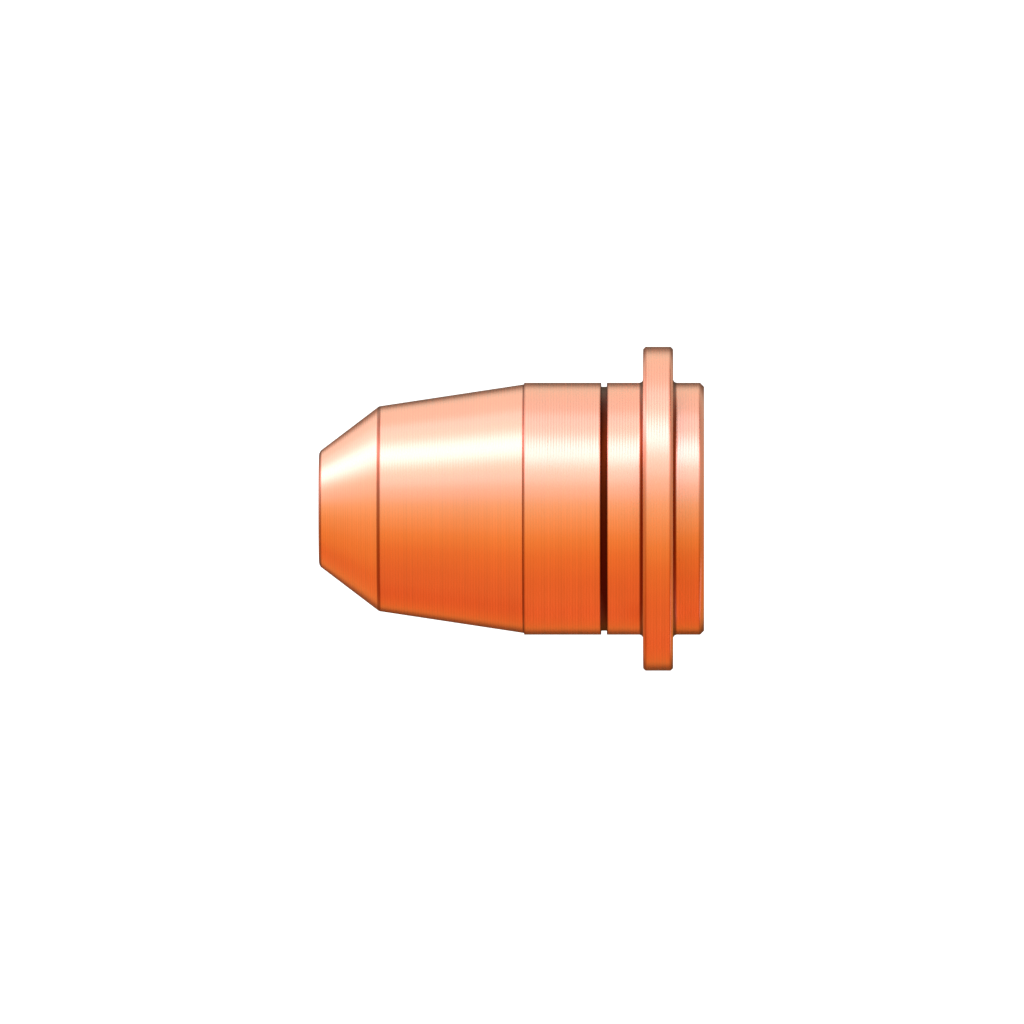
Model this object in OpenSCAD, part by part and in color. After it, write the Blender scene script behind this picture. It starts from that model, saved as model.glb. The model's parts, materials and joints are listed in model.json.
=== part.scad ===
// Plasma torch nozzle: one turned piece of copper.
// The origin is the centre of the back face, and +Z runs along the axis to the tip.
// An electrode stands in the arc chamber with gas swirling round it, and the arc leaves through
// the orifice. A retaining cap passes over the tip and clamps the flange to the torch head.

/* [Lengths along the axis] */
// Length of the spigot behind the flange, which enters the torch
spigot_len = 1.55; // [1:0.05:3]
// Thickness of the flange
flange_t = 1.5; // [1:0.05:2.5]
// Straight body from the flange to the middle of the groove
rear_land_len = 1.95; // [1.2:0.05:4]
// Straight body from the middle of the groove to the taper
front_land_len = 4; // [1.5:0.05:7]
// Length of the long taper
taper_len = 7.25; // [5:0.05:10]
// Length of the nose cone
nose_len = 3; // [2:0.05:4.5]

/* [Outside diameters] */
// Diameter of the spigot, which seats in the swirl ring
spigot_d = 12.6; // [11.6:0.05:13.6]
// Diameter of the flange
flange_d = 16.2; // [15.6:0.05:20]
// Diameter of the straight body
body_d = 12.6; // [11.6:0.05:13.6]
// Height of the small step where the taper begins
shoulder_h = 0.08; // [0.04:0.01:0.2]
// Diameter of the edge between the taper and the nose cone
nose_d = 10.25; // [9:0.05:10.8]
// Diameter of the flat tip
tip_d = 5.7; // [4:0.05:7.5]

/* [Arc chamber and orifice] */
// Diameter of the straight arc chamber
chamber_d = 8.4; // [6.5:0.05:8.8]
// Included angle of the seat that narrows from the chamber to the orifice
seat_angle = 90; // [60:1:110]
// Radius that blends the wall of the chamber into the seat
blend_r = 1; // [0.3:0.05:2]
// Diameter of the orifice that squeezes the arc
orifice_d = 1; // [0.6:0.05:2]
// Length of the orifice
orifice_len = 2.8; // [2:0.05:4]

/* [Groove round the body] */
// Width of the square groove
groove_w = 0.28; // [0.16:0.02:0.6]
// Depth of the square groove
groove_depth = 0.2; // [0.06:0.02:0.4]

/* [Edges] */
// Chamfer round the mouth of the chamber
mouth_chamfer = 0.4; // [0.1:0.05:0.6]
// Chamfer round the back edge of the spigot
spigot_chamfer = 0.2; // [0.05:0.05:0.4]
// Chamfer on both rims of the flange
rim_chamfer = 0.12; // [0.04:0.02:0.3]
// Chamfer round the flat tip
tip_chamfer = 0.1; // [0.04:0.02:0.3]
// Radius of the inside corners on both sides of the flange
root_r = 0.2; // [0.05:0.05:0.5]

/* [Hidden] */
$fn = 128;

// Colour of bare copper
copper = [0.91, 0.45, 0.2];

// Cutting shapes run this far past the faces that they open
overrun = 1;

// Stations along the axis, from the back face to the tip
flange_back_z = spigot_len;
flange_front_z = flange_back_z + flange_t;
groove_z = flange_front_z + rear_land_len;
taper_z = groove_z + front_land_len;
nose_z = taper_z + taper_len;
tip_z = nose_z + nose_len;

// Outside radii
spigot_r = spigot_d / 2;
flange_r = flange_d / 2;
body_r = body_d / 2;
taper_r = body_r - shoulder_h;
nose_r = nose_d / 2;
tip_r = tip_d / 2;

// The chamfer of the tip starts where it meets the slope of the nose cone
tip_break_r = tip_r + tip_chamfer * (nose_r - tip_r) / nose_len;

// The seat is placed from the tip, so that the orifice keeps its length
chamber_r = chamber_d / 2;
orifice_r = orifice_d / 2;
half_angle = seat_angle / 2;
orifice_z = tip_z - orifice_len;
seat_z = orifice_z - (chamber_r - orifice_r) / tan(half_angle);

// The blend touches the wall and the seat at one distance from the corner between them
blend_reach = blend_r * tan(half_angle / 2);
blend_start_z = seat_z - blend_reach;
blend_end_r = chamber_r - blend_reach * sin(half_angle);
blend_end_z = seat_z + blend_reach * cos(half_angle);

// Half section of the outside, from the axis out to the flange's rim
module outside_section() {
    polygon([
        [0, 0],
        [spigot_r - spigot_chamfer, 0],
        [spigot_r, spigot_chamfer],
        [spigot_r, flange_back_z],
        [flange_r - rim_chamfer, flange_back_z],
        [flange_r, flange_back_z + rim_chamfer],
        [flange_r, flange_front_z - rim_chamfer],
        [flange_r - rim_chamfer, flange_front_z],
        [body_r, flange_front_z],
        [body_r, taper_z],
        [taper_r, taper_z],
        [nose_r, nose_z],
        [tip_break_r, tip_z - tip_chamfer],
        [tip_r - tip_chamfer, tip_z],
        [0, tip_z],
    ]);
}

// Metal that a round-nosed tool leaves in an inside corner; side is 1 above the corner, -1 below it
module root_section(corner_r, corner_z, side) {
    translate([corner_r, corner_z])
        difference() {
            translate([0, side > 0 ? 0 : -root_r])
                square(root_r);
            translate([root_r, side * root_r])
                circle(root_r);
        }
}

// Square groove that is cut round the straight body
module groove_section() {
    translate([body_r - groove_depth, groove_z - groove_w / 2])
        square([groove_depth + overrun, groove_w]);
}

// Half section of the arc chamber, its seat and the orifice, as one cut from end to end
module bore_section() {
    polygon([
        [0, -overrun],
        [chamber_r + mouth_chamfer + overrun, -overrun],
        [chamber_r, mouth_chamfer],
        [chamber_r, blend_start_z],
        [blend_end_r, blend_end_z],
        [orifice_r, orifice_z],
        [orifice_r, tip_z + overrun],
        [0, tip_z + overrun],
    ]);
    translate([chamber_r - blend_r, blend_start_z])
        circle(blend_r);
}

module nozzle() {
    color(copper)
        rotate_extrude()
            difference() {
                union() {
                    outside_section();
                    root_section(spigot_r, flange_back_z, -1);
                    root_section(body_r, flange_front_z, 1);
                }
                groove_section();
                bore_section();
            }
}

nozzle();
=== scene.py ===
# %% [markdown]
# # Turning a copper plasma nozzle
#
# A plasma torch squeezes its arc through a small hole in a copper nozzle. The nozzle is turned on
# a lathe from one bar: a spigot and a flange at the back, a straight body with a fine groove, a
# long taper, and a short cone down to the flat tip.
#
# This lesson makes it the way the lathe does. One half section is drawn, its corners are eased, and
# it is spun round the axis. Then it gets the finish of fresh cut copper, a white studio, and a
# camera that looks at it square from the side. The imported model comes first, because everything
# after it is measured from that.

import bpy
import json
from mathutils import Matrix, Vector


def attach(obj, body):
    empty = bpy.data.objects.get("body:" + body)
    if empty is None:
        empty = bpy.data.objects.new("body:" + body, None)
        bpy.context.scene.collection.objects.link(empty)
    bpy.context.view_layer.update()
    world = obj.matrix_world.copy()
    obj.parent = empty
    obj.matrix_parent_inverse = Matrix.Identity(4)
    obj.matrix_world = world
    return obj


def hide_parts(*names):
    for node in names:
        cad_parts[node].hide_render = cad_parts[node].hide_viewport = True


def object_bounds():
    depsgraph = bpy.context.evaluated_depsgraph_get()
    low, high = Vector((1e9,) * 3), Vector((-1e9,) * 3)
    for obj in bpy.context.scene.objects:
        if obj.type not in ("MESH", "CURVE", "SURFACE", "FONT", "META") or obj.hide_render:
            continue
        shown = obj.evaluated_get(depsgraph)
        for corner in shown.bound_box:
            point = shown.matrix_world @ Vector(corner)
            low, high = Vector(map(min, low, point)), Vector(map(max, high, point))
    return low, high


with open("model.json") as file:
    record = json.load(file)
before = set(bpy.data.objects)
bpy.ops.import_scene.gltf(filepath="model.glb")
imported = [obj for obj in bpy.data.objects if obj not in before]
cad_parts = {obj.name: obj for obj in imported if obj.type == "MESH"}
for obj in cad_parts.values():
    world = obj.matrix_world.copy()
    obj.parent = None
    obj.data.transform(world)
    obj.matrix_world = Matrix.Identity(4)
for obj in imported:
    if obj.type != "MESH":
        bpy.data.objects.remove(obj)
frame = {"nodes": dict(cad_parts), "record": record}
cad_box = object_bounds()
print("loaded the nodes", sorted(frame["nodes"]))

# %% [markdown]
# ## Tools and units
#
# Blender works in metres, and the drawing of a small part is easier in millimetres. One constant
# joins the two, so no other line has to convert.

# %% Tools and units
import json
import math

import bmesh
import bpy
from mathutils import Matrix, Vector

MM = 0.001
print("the packed model is", [round(side / MM, 3) for side in cad_box[1] - cad_box[0]], "mm")

# %% [markdown]
# ## Sizes that fit other parts
#
# The body, the spigot, the chamber, the orifice and the two faces of the flange fit other parts of
# the torch. The record states them as mounts. They could be typed in again, but then the picture
# could drift away from the part, so they are read from the record. A round mount gives its radius
# and the two ends of its straight wall, and what lies past an end is a chamfer or a round.

# %% Sizes from the mounts
mounts = {mount["name"]: mount for mount in frame["record"]["mounts"]}


def radius_of(name):
    return mounts[name]["dims"]["r_mm"]


def height_of(name):
    return mounts[name]["pos_m"][2] / MM


def wall_of(name):
    half = mounts[name]["dims"]["length_mm"] / 2
    return height_of(name) - half, height_of(name) + half


flange_r = cad_box[1].x / MM
tip_z = cad_box[1].z / MM
flange_back_z = height_of("flange_back")
flange_front_z = height_of("flange_front")
body_r = radius_of("body")
spigot_r = radius_of("spigot")
chamber_r = radius_of("chamber")
orifice_r = radius_of("orifice")

body_start_z, taper_z = wall_of("body")
root_round = body_start_z - flange_front_z
spigot_chamfer = wall_of("spigot")[0]
mouth_chamfer, blend_start_z = wall_of("chamber")
orifice_z = wall_of("orifice")[0]
print("the body is", 2 * body_r, "mm across, and the orifice is", 2 * orifice_r, "mm")
print("the chamfers are", round(spigot_chamfer, 3), "and", round(mouth_chamfer, 3), "mm")
print("the body starts", round(root_round, 3), "mm past the flange and ends at", round(taper_z, 3))

# %% [markdown]
# ## Sizes that touch nothing
#
# The taper, the nose cone, the groove and the breaks on the edges fit no other part, so no mount
# holds them and they are named here. Inside, a seat falls at 45 degrees from the chamber's wall to
# the orifice, and a round blends the two, because a sharp corner there would disturb the gas. How
# far that round reaches follows from where the straight wall of the chamber ends.

# %% Sizes of the free forms
shoulder = 0.08
nose_z = 16.25
nose_r = 5.125
tip_r = 2.85

groove_z = 5.0
groove_w = 0.28
groove_depth = 0.2

seat_slope = math.radians(45.0)
seat_z = orifice_z - (chamber_r - orifice_r) / math.tan(seat_slope)
blend_reach = seat_z - blend_start_z

rim_chamfer = 0.12
tip_chamfer = 0.1
eased = 0.03
print("the seat starts", round(seat_z, 3), "mm up, and its blend reaches", round(blend_reach, 3), "mm")

# %% [markdown]
# ## Corners of the section
#
# A turned part is a section carried round an axis, so only its right half is drawn, in the XZ
# plane. Each line below is one corner, in order round the section. Its third number says how far
# the break of the corner reaches, and the fourth in how many segments: one is a chamfer, and more
# are a round. No real edge is perfectly sharp, so even the plain corners are eased a little.
#
# The next value names the zone: the outside is turned fine, the inside is bored coarser, and the groove
# is dull and painted darker, as shade in its recess. The last one says how dark a painted line of shade
# stays there: painted shade along the inside corners, in the groove and on the edges.

# %% The corners in order
outside, inside, groove = 0.0, 1.0, 2.0
groove_floor_r = body_r - groove_depth
groove_back_z = groove_z - groove_w / 2
groove_front_z = groove_z + groove_w / 2
corners = [
    # radius, height, reach, segments, zone, dark line
    (orifice_r, orifice_z, eased, 3, inside, 0.2),
    (chamber_r, seat_z, blend_reach, 12, inside, 0.0),
    (chamber_r, 0.0, mouth_chamfer, 1, inside, 0.2),
    (spigot_r, 0.0, spigot_chamfer, 1, outside, 0.5),
    (spigot_r, flange_back_z, root_round, 6, outside, 1.0),
    (flange_r, flange_back_z, rim_chamfer, 1, outside, 0.5),
    (flange_r, flange_front_z, rim_chamfer, 1, outside, 0.5),
    (body_r, flange_front_z, root_round, 6, outside, 1.0),
    (body_r, groove_back_z, eased, 3, groove, 1.0),
    (groove_floor_r, groove_back_z, eased, 3, groove, 1.0),
    (groove_floor_r, groove_front_z, eased, 3, groove, 1.0),
    (body_r, groove_front_z, eased, 3, groove, 1.0),
    (body_r, taper_z, eased, 3, outside, 0.6),
    (body_r - shoulder, taper_z, eased, 3, outside, 1.0),
    (nose_r, nose_z, 2 * eased, 4, outside, 0.8),
    (tip_r, tip_z, tip_chamfer, 1, outside, 0.8),
    (orifice_r, tip_z, eased, 3, inside, 0.8),
]
print("the section has", len(corners), "corners")

# %% [markdown]
# ## Ease the corners
#
# The section is one flat face. Bevelling the edges of the finished solid would also work, but a vertex
# bevel on this one face does it with a few points. It replaces each corner with a chamfer or a round, and
# both ends of a chamfer are then eased once more. Three numbers stay with every point, as float layers:
# its zone, its painted dark line of shade, and the length of the tool's path, which comes later. In a
# wide round the painted line is darkest in the middle and fades out to both ends.

# %% Draw the section and ease its corners
section = bmesh.new()
lathe_layer = section.verts.layers.float.new("lathe_mm")
zone_layer = section.verts.layers.float.new("zone")
line_layer = section.verts.layers.float.new("dark_line")
section.faces.new([section.verts.new((r, 0.0, z)) for r, z, *_ in corners])
wide_round = 6
fade_steepness = 2.0


def ease(verts, reach, segments):
    made = bmesh.ops.bevel(
        section, geom=verts, offset=reach, offset_type="OFFSET", affect="VERTICES",
        segments=segments, profile=0.5, material=-1, clamp_overlap=True,
    )
    return made["verts"]


for vert, (r, z, reach, segments, zone, line) in zip(list(section.verts), corners):
    corner = Vector((r, 0.0, z))
    points = ease([vert], reach, segments)
    if segments == 1:
        points = ease(points, eased, 2)
    for point in points:
        # each new point keeps its zone and the darkness of its painted shade line
        point[zone_layer] = zone
        point[line_layer] = line
    if segments >= wide_round:
        nearest = min((point.co - corner).length for point in points)
        for point in points:
            to_end = reach - (point.co - corner).length
            point[line_layer] = line * min(fade_steepness * to_end / (reach - nearest), 1.0)
section.faces.ensure_lookup_table()
section_face = section.faces[0]
print("the eased section has", len(section.verts), "points")

# %% [markdown]
# ## Points that keep the shading true
#
# Smooth shading blends the directions of neighbouring faces. Where a long wall meets a tiny eased
# corner, that would bend the light over the whole wall. Flat shading would show every face
# instead. A support point close to each end of every long line keeps the blend inside a narrow
# strip, and it also ends the dark line of the corner.

# %% Support points beside the corners
support = 0.07
for edge in list(section.edges):
    if edge.calc_length() > 4 * support:
        near, far = edge.verts
        middle, near_point = bmesh.utils.edge_split(edge, near, support / edge.calc_length())
        middle = next(part for part in near_point.link_edges if far in part.verts)
        _, far_point = bmesh.utils.edge_split(middle, far, support / middle.calc_length())
        near_point[line_layer] = 0.0
        far_point[line_layer] = 0.0
print("with its support points it has", len(section.verts))

# %% [markdown]
# ## The tool's path
#
# The finish has to lay its feed marks evenly on walls, cones and flat faces alike. Height alone
# would stretch them on the cones and lose them on flat faces. So each point stores how far the
# tool has travelled along the section to reach it. The path starts inside, where the orifice
# opens, so that its two ends meet out of sight.

# %% Measure the tool's path
path = [loop.vert for loop in section_face.loops]
inner_corner = Vector((orifice_r, 0.0, orifice_z))
start = min(range(len(path)), key=lambda i: (path[i].co - inner_corner).length)
path = path[start:] + path[:start]
travelled = 0.0
previous = path[0].co
for point in path:
    travelled += (point.co - previous).length
    point[lathe_layer] = travelled
    previous = point.co
print("the tool travels", round(travelled, 2), "mm round the section")

# %% [markdown]
# ## Spin the section
#
# The flat face has done its work as a drawing. It is deleted, and its outline is spun a full turn.
# With use_merge the last ring becomes the first, so the skin closes without a seam. Very small
# bevels are safer at a size near one, so the millimetres become metres only now.

# %% Spin it into a closed skin
steps = 256
same_point = 1e-5
bmesh.ops.delete(section, geom=[section_face], context="FACES_ONLY")
bmesh.ops.spin(
    section, geom=section.verts[:] + section.edges[:], cent=(0, 0, 0), axis=(0, 0, 1),
    dvec=(0, 0, 0), angle=math.tau, steps=steps, use_merge=True, use_duplicate=False,
)
bmesh.ops.remove_doubles(section, verts=section.verts[:], dist=same_point)
bmesh.ops.recalc_face_normals(section, faces=section.faces[:])
bmesh.ops.scale(section, vec=(MM, MM, MM), verts=section.verts[:])
print(len(section.faces), "faces; closed:", all(edge.is_manifold for edge in section.edges))
print("volume", round(section.calc_volume() / MM**3, 1), "mm3, and the CAD solid has",
      round(frame["record"]["physics"]["volume_m3"] / MM**3, 1))

# %% [markdown]
# ## Zones of the skin
#
# One skin can carry several finishes, if each face knows its own. Cutting the skin apart would do
# it too, but the real part is one piece. A face belongs to the bore or to the groove when all its
# corners do. What is left is the outside, where the flat faces are cut across the bar and look a
# little duller than the walls.

# %% Give each face its finish
zone_names = ["turned", "bored", "groove", "faced"]
flat = 0.99
for face in section.faces:
    face.smooth = True
    zones = [vert[zone_layer] for vert in face.verts]
    zone = zones[0] if max(zones) == min(zones) else outside
    if zone == outside and abs(face.normal.z) > flat:
        face.material_index = zone_names.index("faced")
    else:
        face.material_index = round(zone)
for index, name in enumerate(zone_names):
    print(name, sum(face.material_index == index for face in section.faces), "faces")

# %% [markdown]
# ## The finished mesh
#
# The mesh now becomes an object. It rides on the body, so it goes wherever the body goes, and it
# stands in for the plain CAD node.

# %% Hand the skin over as an object
nozzle_mesh = bpy.data.meshes.new("turned_nozzle")
section.to_mesh(nozzle_mesh)
section.free()
nozzle = bpy.data.objects.new("turned_nozzle", nozzle_mesh)
bpy.context.scene.collection.objects.link(nozzle)
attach(nozzle, "root")
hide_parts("nozzle")
print("the nozzle is", [round(side / MM, 2) for side in nozzle.dimensions], "mm")

# %% [markdown]
# ## Helpers for node trees
#
# The copper and the studio light are both built from nodes. They could be drawn by hand in the
# node editor, but then nobody could read how they were made. A few small helpers keep the code
# short: each makes one node, wires its inputs and gives back its output.

# %% Helpers that make and wire nodes
def new_material(name):
    material = bpy.data.materials.new(name)
    material.use_nodes = True
    return material, material.node_tree, material.node_tree.nodes["Principled BSDF"]


def wire(tree, socket, value):
    if isinstance(value, bpy.types.NodeSocket):
        tree.links.new(value, socket)
    else:
        socket.default_value = value


def maths(tree, operation, *values):
    node = tree.nodes.new("ShaderNodeMath")
    node.operation = operation
    for socket, value in zip(node.inputs, values):
        wire(tree, socket, value)
    return node.outputs[0]


print("helpers for nodes:", new_material.__name__, wire.__name__, maths.__name__)

# %% [markdown]
# ## Colours in nodes
#
# A ramp turns a number into a colour, and a blend joins two colours. Every ramp here eases from
# stop to stop, because neither a tarnished surface nor a soft light has a hard border.

# %% Helpers for colours
def ramp(tree, factor, stops):
    node = tree.nodes.new("ShaderNodeValToRGB")
    node.color_ramp.interpolation = "EASE"
    elements = node.color_ramp.elements
    elements[0].position, elements[1].position = stops[0][0], stops[-1][0]
    elements[0].color, elements[1].color = (*stops[0][1], 1), (*stops[-1][1], 1)
    for position, colour in stops[1:-1]:
        elements.new(position).color = (*colour, 1)
    wire(tree, node.inputs[0], factor)
    return node.outputs[0]


def blend(tree, blend_type, factor, first, second):
    node = tree.nodes.new("ShaderNodeMix")
    node.data_type = "RGBA"
    node.blend_type = blend_type
    wire(tree, node.inputs["Factor"], factor)
    wire(tree, node.inputs["A"], first)
    wire(tree, node.inputs["B"], second)
    return node.outputs["Result"]


def grey(value):
    return (value, value, value)


print("helpers for colours:", ramp.__name__, blend.__name__, grey.__name__)

# %% [markdown]
# ## Marks of the tool
#
# A lathe tool with a round nose leaves a fine thread of shallow valleys with crests between them.
# Modelled, that thread would take millions of faces, so it is a wave over the stored path length.
# The streaks are noise drawn out round the axis, because no two turns of the bar cut alike. Soft
# clouds stand for the tarnish that bare copper takes up from fingers and air.

# %% Streaks, valleys and clouds
streak_length = 60.0
streak_width = 6.0
cloud_size = 220.0


def noise(tree, vector, scale, detail):
    node = tree.nodes.new("ShaderNodeTexNoise")
    wire(tree, node.inputs["Vector"], vector)
    wire(tree, node.inputs["Scale"], scale)
    wire(tree, node.inputs["Detail"], detail)
    return node.outputs[0]


def stored(tree, layer_name):
    node = tree.nodes.new("ShaderNodeAttribute")
    node.attribute_name = layer_name
    return node.outputs["Fac"]


def tool_marks(tree, pitch):
    place = tree.nodes.new("ShaderNodeTexCoord").outputs["Object"]
    travel = stored(tree, "lathe_mm")
    across = tree.nodes.new("ShaderNodeSeparateXYZ")
    wire(tree, across.inputs[0], place)
    along_cut = tree.nodes.new("ShaderNodeCombineXYZ")
    wire(tree, along_cut.inputs[0], maths(tree, "MULTIPLY", across.outputs[0], streak_length))
    wire(tree, along_cut.inputs[1], maths(tree, "MULTIPLY", across.outputs[1], streak_length))
    wire(tree, along_cut.inputs[2], maths(tree, "MULTIPLY", travel, streak_width))
    streaks = noise(tree, along_cut.outputs[0], scale=1.0, detail=4.0)
    wave = maths(tree, "SINE", maths(tree, "MULTIPLY", travel, math.pi / pitch))
    clouds = noise(tree, place, scale=cloud_size, detail=3.0)
    return streaks, maths(tree, "ABSOLUTE", wave), clouds


print("a streak is about", round(1 / streak_length / MM), "mm long")
print("and", round(1 / streak_width, 2), "mm wide")

# %% [markdown]
# ## Tone of the copper
#
# The tone starts from one colour. Streaks, crests and clouds each take a little away from it, and the
# stored dark lines, which are painted shade, take most of it. Multiplying keeps the order free, and no
# layer can make the copper brighter than it is.

# %% Tone
streak_share = 0.9
crest_tone = (0.86, 0.8, 0.78)
cloud_tone = (0.96, 0.92, 0.9)
# painted shade: the colour that the stored dark lines multiply into the copper
painted_line_shade = (0.22, 0.14, 0.12, 1)


def copper_tone(tree, colour, streaks, valleys, clouds, dark_line):
    darker = [part * streak_share for part in colour]
    tone = ramp(tree, streaks, [(0.3, darker), (0.7, colour)])
    crests = ramp(tree, valleys, [(0.0, crest_tone), (0.5, grey(1.0))])
    cloudy = ramp(tree, clouds, [(0.35, cloud_tone), (0.65, grey(1.0))])
    tone = blend(tree, "MULTIPLY", 1.0, tone, crests)
    tone = blend(tree, "MULTIPLY", 1.0, tone, cloudy)
    # the painted shade lines darken the tone here
    return blend(tree, "MULTIPLY", dark_line, tone, painted_line_shade)


print("of red, green and blue a crest keeps", crest_tone, "and a cloud", cloud_tone)

# %% [markdown]
# ## Relief of the tool marks
#
# The valleys are a few thousandths of a millimetre deep. Displacement would really move the
# surface, and nobody could see the difference in the outline, so a bump tilts the shading alone.
# The streaks vary its depth, and even where they are weakest a part of it stays.

# %% Relief
least_depth = 0.3


def relief(tree, streaks, valleys, depth):
    bump = tree.nodes.new("ShaderNodeBump")
    bump.inputs["Distance"].default_value = depth * MM
    bump.invert = True
    cut_depth = maths(tree, "ADD", streaks, least_depth)
    wire(tree, bump.inputs["Height"], maths(tree, "MULTIPLY", valleys, cut_depth))
    return bump.outputs[0]


print("the weakest streaks keep", least_depth, "of the depth")

# %% [markdown]
# ## Fresh cut copper
#
# Copper mirrors some light in its own deep orange and some of it white. The metal layer gives the first,
# and a clear layer with a high index gives the second. A single layer could only have the mean of the
# two. Both layers feel the feed marks. The metal mirrors sharply along the cut and widely across it,
# which is what the anisotropy says. Its tangent runs round the axis, and a quarter turn lays the wide
# direction across the cut. Where a painted shade line is fully dark, the clear layer is taken away as
# well, so the line keeps no white reflection, and the groove has none.

# %% The copper finish
roughness_swing = 0.16
brushed = 0.6
quarter_turn = 0.25
clear_roughness = 0.2
clear_index = 3.0


def cut_copper(name, colour, roughness, pitch, depth, clear):
    material, tree, skin = new_material(name)
    streaks, valleys, clouds = tool_marks(tree, pitch)
    dark_line = stored(tree, "dark_line")
    wire(tree, skin.inputs["Base Color"], copper_tone(tree, colour, streaks, valleys, clouds, dark_line))
    smoothest = roughness - roughness_swing / 2
    wire(tree, skin.inputs["Roughness"], maths(tree, "MULTIPLY_ADD", streaks, roughness_swing, smoothest))
    skin.inputs["Metallic"].default_value = 1.0

    marks = relief(tree, streaks, valleys, depth)
    wire(tree, skin.inputs["Normal"], marks)

    tangent = tree.nodes.new("ShaderNodeTangent")
    tangent.direction_type = "RADIAL"
    tangent.axis = "Z"
    wire(tree, skin.inputs["Tangent"], tangent.outputs[0])
    skin.inputs["Anisotropic"].default_value = brushed
    skin.inputs["Anisotropic Rotation"].default_value = quarter_turn

    if clear:
        # painted shade: the dark lines also take away the clear layer and its white reflection
        left_clear = maths(tree, "MULTIPLY_ADD", dark_line, -clear, clear)
        wire(tree, skin.inputs["Coat Weight"], left_clear)
        wire(tree, skin.inputs["Coat Normal"], marks)
        skin.inputs["Coat Roughness"].default_value = clear_roughness
        skin.inputs["Coat IOR"].default_value = clear_index
    return material


straight_on = ((clear_index - 1) / (clear_index + 1)) ** 2
print("seen straight on, the clear layer mirrors", straight_on, "of the light")

# %% [markdown]
# ## Four finishes
#
# The walls, the bore, the groove and the flat faces differ in the feed of the tool and in their shine.
# Light bounces several times inside the chamber and between the flange and the body, and each bounce
# deepens its colour. With one copper for all, those places would turn blood red, so the bore and the flat
# faces are a little paler. The groove's copper is painted darker, as shade in its recess.

# %% Finish each zone
copper = (0.93, 0.17, 0.04)
pale_copper = (0.93, 0.27, 0.11)
# painted shade: the groove's copper is about half as bright as the walls
shaded_groove_copper = (0.5, 0.1, 0.025)
finishes = {
    # colour, roughness, pitch and depth of the feed marks in mm, weight of the clear layer
    "turned": (copper, 0.42, 0.14, 0.003, 1.0),
    "bored": (pale_copper, 0.45, 0.18, 0.004, 0.5),
    "groove": (shaded_groove_copper, 0.5, 0.1, 0.001, 0.0),
    "faced": (pale_copper, 0.46, 0.14, 0.003, 0.5),
}
for name in zone_names:
    nozzle_mesh.materials.append(cut_copper(name + "_copper", *finishes[name]))
print("the nozzle has", [material.name for material in nozzle_mesh.materials])

# %% [markdown]
# ## Studio floor
#
# The nozzle stands on its back face on a matt white floor. A curved backdrop would hide the line
# where the floor ends, but this floor and the air are both so bright that no line shows. The
# copper doesn't mirror the floor: what it mirrors is set by the cards of the next steps.

# %% White floor
floor_half = 10.0
floor_mesh = bpy.data.meshes.new("studio_floor")
floor_builder = bmesh.new()
bmesh.ops.create_grid(floor_builder, x_segments=1, y_segments=1, size=floor_half)
floor_builder.to_mesh(floor_mesh)
floor_builder.free()
floor = bpy.data.objects.new("studio_floor", floor_mesh)
bpy.context.scene.collection.objects.link(floor)
floor.visible_glossy = False
floor_material, _, floor_skin = new_material("white_floor")
floor_skin.inputs["Base Color"].default_value = (*grey(0.9), 1)
floor_skin.inputs["Roughness"].default_value = 1.0
floor_skin.inputs["Specular IOR Level"].default_value = 0.0
floor_mesh.materials.append(floor_material)
print("the floor is", 2 * floor_half, "m wide and lies at z =", floor.location.z)

# %% [markdown]
# ## A sky made of cards
#
# A shiny part shows what stands round it, so a product studio hangs soft cards there. Area lamps
# would give hard edged squares on the round walls. Here each card is a colour ramp over the angle
# to one direction, so it fades without an edge. Cards are added, and black flags multiply.

# %% Helpers for the sky
world = bpy.data.worlds.new("studio")
bpy.context.scene.world = world
world.use_nodes = True
sky = world.node_tree
looking = sky.nodes.new("ShaderNodeTexCoord").outputs["Generated"]


def card(direction, stops):
    # stop 1 lies in this direction, stop 0.5 at right angles to it, and stop 0 opposite
    node = sky.nodes.new("ShaderNodeVectorMath")
    node.operation = "DOT_PRODUCT"
    node.inputs[1].default_value = Vector(direction).normalized()
    wire(sky, node.inputs[0], looking)
    return ramp(sky, maths(sky, "MULTIPLY_ADD", node.outputs["Value"], 0.5, 0.5), stops)


def combine(blend_type, *colours):
    result = colours[0]
    for colour in colours[1:]:
        result = blend(sky, blend_type, 1.0, result, colour)
    return result


camera_side = Vector((0, -1, 0))
upper_side = Vector((1, 0, 0))
tip_side = Vector((0, 0, 1))
print("the picture's top is", upper_side[:], "and the camera stands toward", camera_side[:])

# %% [markdown]
# ## Cards
#
# The wide cards come first: deep orange below, pale gold at the sides, and a white card above that
# fades out behind the part. The key is a strip of light bent over the part. It draws the white
# line along the upper third of the wall. It ends below the horizon, or it would run on round the
# edges in the other views. A second, small piece of the same strip lies low behind. Each direction
# is put together from the three sides above.

# %% Wide cards and strips
warm_cards = card(upper_side, [
    (0.0, (0.89, 0.28, 0.05)), (0.13, (0.97, 0.37, 0.06)), (0.26, (1.06, 0.53, 0.10)),
    (0.38, (1.14, 0.72, 0.24)), (0.5, (1.17, 0.92, 0.43)), (0.65, (1.06, 1.10, 0.82)),
    (1.0, (1.0, 1.02, 0.76)),
])
white_card = combine(
    "MULTIPLY",
    card(upper_side, [
        (0.5, grey(0.0)), (0.65, grey(0.18)), (0.75, (0.70, 0.70, 0.83)),
        (0.9, (0.85, 0.85, 0.98)), (1.0, (0.9, 0.9, 1.05)),
    ]),
    card(-camera_side - 0.8 * tip_side, [(0.5, grey(1.0)), (0.59, grey(0.4)), (0.85, grey(0.05))]),
)
across_strip = -0.511 * upper_side + 0.703 * camera_side + 0.494 * tip_side
strip = card(across_strip, [
    (0.335, grey(0.0)), (0.49, grey(1.0)), (0.51, grey(1.0)), (0.665, grey(0.0)),
])
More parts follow.
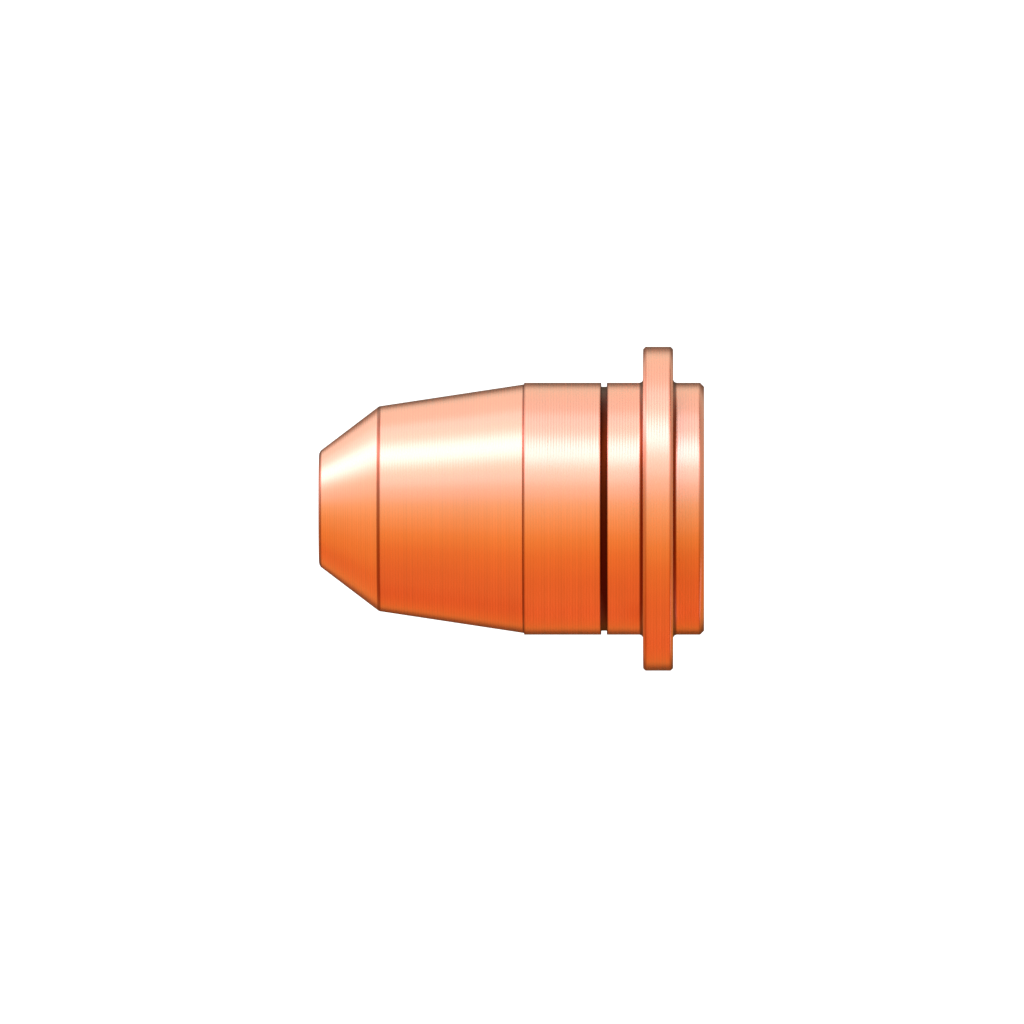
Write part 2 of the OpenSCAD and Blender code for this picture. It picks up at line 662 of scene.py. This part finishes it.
key_strip = combine(
    "MULTIPLY", strip,
    card(upper_side + 0.3 * tip_side, [(0.55, grey(0.0)), (0.7, (1.9, 1.8, 2.12))]),
    card(tip_side, [(0.4, grey(0.0)), (0.49, grey(1.0))]),
)
back_strip = combine(
    "MULTIPLY", strip,
    card(
        -0.6 * upper_side - 0.42 * camera_side - 0.68 * tip_side,
        [(0.9, grey(0.0)), (0.96, grey(1.5))],
    ),
)
cards = combine("ADD", warm_cards, white_card, key_strip, back_strip)
print("with its cards the sky has", len(sky.nodes), "nodes")

# %% [markdown]
# ## Flags
#
# A flag is a sheet that keeps light off, black or tinted. The first stands straight behind the part
# and keeps its outline crisp. The second stands low beside it and is tinted, so the lower edge
# stays deep orange. The third hangs on the upper side, below the horizon, for the walls in the
# other views. The last one warms the ceiling, which the nose cone mirrors in this picture.

# %% Flags
behind = card(-camera_side, [(0.88, grey(1.0)), (0.97, grey(0.1))])
low_behind = card(
    -0.65 * upper_side - 0.7 * camera_side + 0.3 * tip_side,
    [(0.82, grey(1.0)), (0.97, (0.88, 0.67, 0.6))],
)
under_upper_side = maths(sky, "SUBTRACT", 1.0, combine(
    "MULTIPLY",
    card(upper_side, [(0.88, grey(0.0)), (0.94, grey(0.75))]),
    card(tip_side, [(0.415, grey(1.0)), (0.47, grey(0.0))]),
))
ceiling = card(0.9 * tip_side - 0.4 * upper_side, [(0.9, grey(1.0)), (0.97, (0.92, 0.86, 0.7))])
mirrored = combine("MULTIPLY", cards, behind, low_behind, under_upper_side, ceiling)
print("with its flags the sky has", len(sky.nodes), "nodes")

# %% [markdown]
# ## Plain light and mirrored light
#
# The floor and the air get one plain white light from all round, which gives the soft shadow
# under the part. Only rays that leave a glossy surface see the cards.

# %% Join the two
plain_light = (*grey(1.35), 1)
glossy = sky.nodes.new("ShaderNodeLightPath").outputs["Is Glossy Ray"]
wire(sky, sky.nodes["Background"].inputs["Color"], blend(sky, "MIX", glossy, plain_light, mirrored))
print("the plain light has a strength of", plain_light[0])

# %% [markdown]
# ## Camera
#
# The picture shows the nozzle square from the side, with its tip to the left. A very long lens far
# away does that without making the near side larger. The camera lies on its side, so that the
# nozzle stands on the floor and still points left in the picture. It stands level with the floor
# and so doesn't see the floor's surface, as the picture doesn't. One pixel of the picture is
# 0.05 mm, and two measured lines place the frame: the back face and the axis.

# %% Side view
picture = 1024
mm_per_pixel = 0.05
back_face_px = 704.1
axis_px = 508.8
camera_data = bpy.data.cameras.new("side_view")
camera_data.sensor_width = 36.0
camera_data.lens = 1000.0
camera_data.clip_start = 0.01
camera_data.clip_end = 20.0
camera = bpy.data.objects.new("side_view", camera_data)
bpy.context.scene.collection.objects.link(camera)
bpy.context.scene.camera = camera

distance = camera_data.lens * picture * mm_per_pixel / camera_data.sensor_width * MM
aim_x = (axis_px - picture / 2) * mm_per_pixel * MM
aim_z = (back_face_px - picture / 2) * mm_per_pixel * MM
aim = Vector((aim_x, 0.0, aim_z))
station = Vector((aim_x, 0.0, 0.0)) + camera_side * distance
back = (station - aim).normalized()
turn = Matrix((upper_side.cross(back), upper_side, back)).transposed().to_4x4()
camera.matrix_world = Matrix.Translation(station) @ turn
bpy.context.scene.view_settings.view_transform = "Standard"
print("the camera stands", round(distance, 3), "m away")
